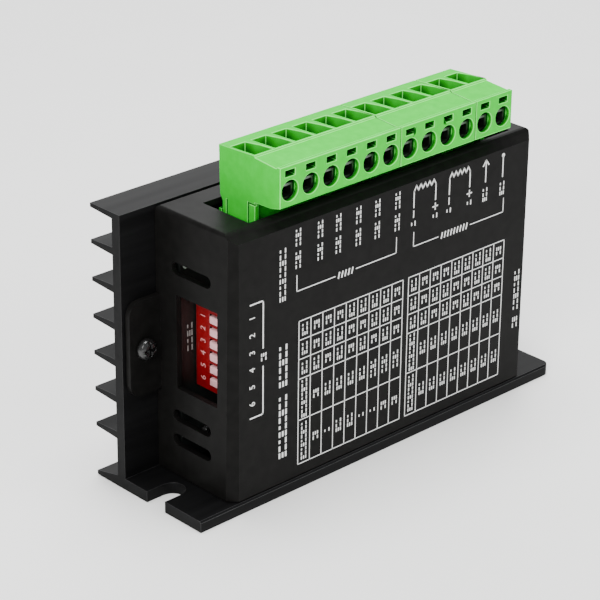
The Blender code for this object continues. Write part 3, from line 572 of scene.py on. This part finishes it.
def print_coil(bm, left, right, low, high):
    """A winding between two leads."""
    step = (right - left) / WINDING_TURNS
    places = [(left, low), (left, high)]
    for i in range(WINDING_TURNS):
        places.append((left + (i + 0.5) * step, high + WINDING_RISE))
        places.append((left + (i + 1) * step, high))
    places.append((right, low))
    line(bm, places)


def print_sign(bm, x, z, plus):
    line(bm, [(x, z - SIGN_REACH), (x, z + SIGN_REACH)])
    if plus:
        line(bm, [(x - SIGN_REACH, z), (x + SIGN_REACH, z)])


def print_windings(bm):
    for left, right in WINDINGS:
        print_coil(bm, left, right, *WINDING_Z)
        print_sign(bm, left, SIGN_Z, plus=False)
        print_sign(bm, right, SIGN_Z, plus=True)
        for x in (left, right):
            marks(bm, COVER_FACE, across(x + LEAD_LETTER["shift"]), LEAD_LETTER["z"] * MM, 1,
                  LEAD_LETTER["height"] * MM, LEAD_LETTER["pitch"] * MM)


ARROW_X = 73.9
ARROW_Z = (48.8, 53.2)
ARROW_TIP_Z = 53.3
ARROW_BARB = 0.75
ARROW_BARB_Z = 52.2
GROUND_X = 78.8
GROUND_Z = (48.6, 52.8)
GROUND_DOT_Z = 53.0
GROUND_DOT_RADIUS = 0.42 * MM
SUPPLY_NAMES_Z = (44.6, 47.6)
SUPPLY_NAME_SHIFT = 0.6


def print_supply(bm):
    """An arrow and a line that ends in a dot, over the names of the two supply terminals."""
    line(bm, [(ARROW_X, z) for z in ARROW_Z])
    for side in (-1, 1):
        line(bm, [(ARROW_X, ARROW_TIP_Z), (ARROW_X + side * ARROW_BARB, ARROW_BARB_Z)])
    line(bm, [(GROUND_X, z) for z in GROUND_Z])
    disc(bm, COVER_FACE, from_corner(GROUND_X, GROUND_DOT_Z), GROUND_DOT_RADIUS)
    for x in (ARROW_X, GROUND_X):
        print_words(bm, x + SUPPLY_NAME_SHIFT, SUPPLY_NAMES_Z, (3,), NAME_HEIGHT, THIN_LINE)


def make_label():
    bm = bmesh.new()
    for table in TABLES:
        print_table(bm, table)
    print_switch_numbers(bm)
    print_words(bm, *TITLE)
    print_words(bm, *LIGHTS_LABEL)
    for bracket in BRACKETS:
        print_bracket(bm, **bracket)
    for low, high in BRACKET_WORDS:
        print_bracket_word(bm, low, high)
    print_signal_names(bm)
    print_windings(bm)
    print_supply(bm)
    print_words(bm, *SUPPLY_RANGE)
    new_piece("label_print", bm, "white_ink", "module")


# Marks on the switch block and the board, and the solder

SWITCH_MARK_INSET = 0.25 * MM  # from the block's edge, clear of where the levers slide
SWITCH_MARK_FROM_TOP = 3.2 * MM
SWITCH_MARK_FROM_BOTTOM = 1.2 * MM
SWITCH_MARK_HEIGHT = 0.7 * MM
SWITCH_MARK_PITCH = 1.0 * MM


def make_switch_marks():
    """Numbers on one side of the levers, and a small mark on the other side of the end two."""
    bm = bmesh.new()
    _, lever_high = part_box("dip_lever_1")
    beside = -(lever_high.y + SWITCH_HIGH.y) / 2
    for i in range(1, SWITCHES + 1):
        low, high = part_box(f"dip_lever_{i}")
        middle = (low.z + high.z) / 2
        digit(bm, SWITCH_FACE, str(i), (beside, middle), DIGIT_SIZE, angle=90)
    near_edge = -SWITCH_LOW.y - SWITCH_MARK_INSET
    top, bottom = SWITCH_HIGH.z - SWITCH_MARK_FROM_TOP, SWITCH_LOW.z + SWITCH_MARK_FROM_BOTTOM
    for z in (top, bottom):
        marks(bm, SWITCH_FACE, near_edge, z, 2, SWITCH_MARK_HEIGHT, SWITCH_MARK_PITCH, RULE)
    new_piece("switch_marks", bm, "switch_mark", "module")


BOARD_WORD_X = 12.6
BOARD_WORD_Z = (27 * MM, 33 * MM)
BOARD_WORD_HEIGHT = 1.3 * MM


def make_board_print():
    """A mark on the board that shows in the switch window, beside the switch block."""
    bm = bmesh.new()
    words(bm, BOARD_FACE, across(BOARD_WORD_X), *BOARD_WORD_Z, (4,), BOARD_WORD_HEIGHT)
    new_piece("board_print", bm, "grey_ink", "module")


TAIL_Z = 46.3 * MM  # the terminals' tails come through the board here
SOLDER_HEIGHT = 0.7 * MM
SOLDER_GAP = 0.02 * MM
SOLDER_FOOT_RADIUS = 1.15 * MM
SOLDER_TOP_RADIUS = 0.75 * MM
SOLDER_SIDES = 20


def make_solder():
    """Cone-shaped joints round the terminal tails on the back of the board."""
    bm = bmesh.new()
    for i in range(1, TERMINALS + 1):
        low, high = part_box(f"terminal_screw_{i:02d}")
        x = (low.x + high.x) / 2
        place = Matrix.Translation((-x, TAIL_Z, SOLDER_HEIGHT / 2 + SOLDER_GAP))
        bmesh.ops.create_cone(bm, cap_ends=True, segments=SOLDER_SIDES,
                              radius1=SOLDER_FOOT_RADIUS, radius2=SOLDER_TOP_RADIUS,
                              depth=SOLDER_HEIGHT, matrix=BOARD_BACK @ place)
    new_piece("solder_joints", bm, "solder", "module")


# Stage


FLOOR_REACH = 3.0
FLOOR_Z = -0.05 * MM
MODULE_MIDDLE = Vector((0, 0, 0.03))
WORLD_COLOUR = (0.96, 0.98, 1.0, 1)
WORLD_STRENGTH = 0.6
SOFTBOXES = (
    {"name": "overhead", "location": (0.02, 0.06, 0.75), "size": 0.4, "power": 7.5},
    {"name": "key", "location": (-0.60, -0.35, 0.50), "size": 0.35, "power": 6.0,
     "colour": (1, 0.99, 0.97)},
    {"name": "fill", "location": (0.40, -0.75, 0.45), "size": 0.5, "power": 2.8},
    {"name": "rim", "location": (0.55, 0.52, 0.42), "size": 0.6, "power": 2.8},
)


def make_floor():
    bm = bmesh.new()
    bmesh.ops.create_grid(bm, x_segments=1, y_segments=1, size=FLOOR_REACH)
    mesh = bpy.data.meshes.new("floor")
    bm.to_mesh(mesh)
    bm.free()
    mesh.materials.append(MATERIALS["floor"])
    floor = bpy.data.objects.new("floor", mesh)
    floor.location.z = FLOOR_Z
    bpy.context.scene.collection.objects.link(floor)


def add_light(name, location, size, power, colour=(1, 1, 1)):
    """A square soft light aimed at the module."""
    data = bpy.data.lights.new(name, "AREA")
    data.size = size
    data.energy = power
    data.color = colour
    light = bpy.data.objects.new(name, data)
    light.location = location
    aim = MODULE_MIDDLE - Vector(location)
    light.rotation_euler = aim.to_track_quat("-Z", "Y").to_euler()
    bpy.context.scene.collection.objects.link(light)


def make_lights():
    world = bpy.data.worlds.new("studio")
    world.use_nodes = True
    background = world.node_tree.nodes["Background"]
    background.inputs["Color"].default_value = WORLD_COLOUR
    background.inputs["Strength"].default_value = WORLD_STRENGTH
    bpy.context.scene.world = world
    for softbox in SOFTBOXES:
        add_light(**softbox)


# The camera of the photograph, as its perspective gives it
CAMERA_PLACE = (-0.29201, -0.29619, 0.22092)
CAMERA_HEADING = math.radians(43.78)  # from straight at the printed front, towards the right end
CAMERA_DOWN = math.radians(24.39)
CAMERA_ROLL = math.radians(0.659)
CAMERA_SENSOR = 36
CAMERA_LENS = 141.7
CAMERA_SHIFT = (-0.0094, -0.0449)
CAMERA_CLIP_START = 0.01


def make_camera():
    data = bpy.data.cameras.new("camera")
    data.sensor_width = CAMERA_SENSOR
    data.lens = CAMERA_LENS
    data.shift_x, data.shift_y = CAMERA_SHIFT
    data.clip_start = CAMERA_CLIP_START
    camera = bpy.data.objects.new("camera", data)
    camera.matrix_world = (
        Matrix.Translation(CAMERA_PLACE)
        @ Matrix.Rotation(-CAMERA_HEADING, 4, "Z")
        @ Matrix.Rotation(math.pi / 2 - CAMERA_DOWN, 4, "X")
        @ Matrix.Rotation(CAMERA_ROLL, 4, "Z")
    )
    bpy.context.scene.collection.objects.link(camera)
    bpy.context.scene.camera = camera


make_camera()
make_lights()
make_floor()
refine_cad()
make_label()
make_switch_marks()
make_board_print()
make_solder()
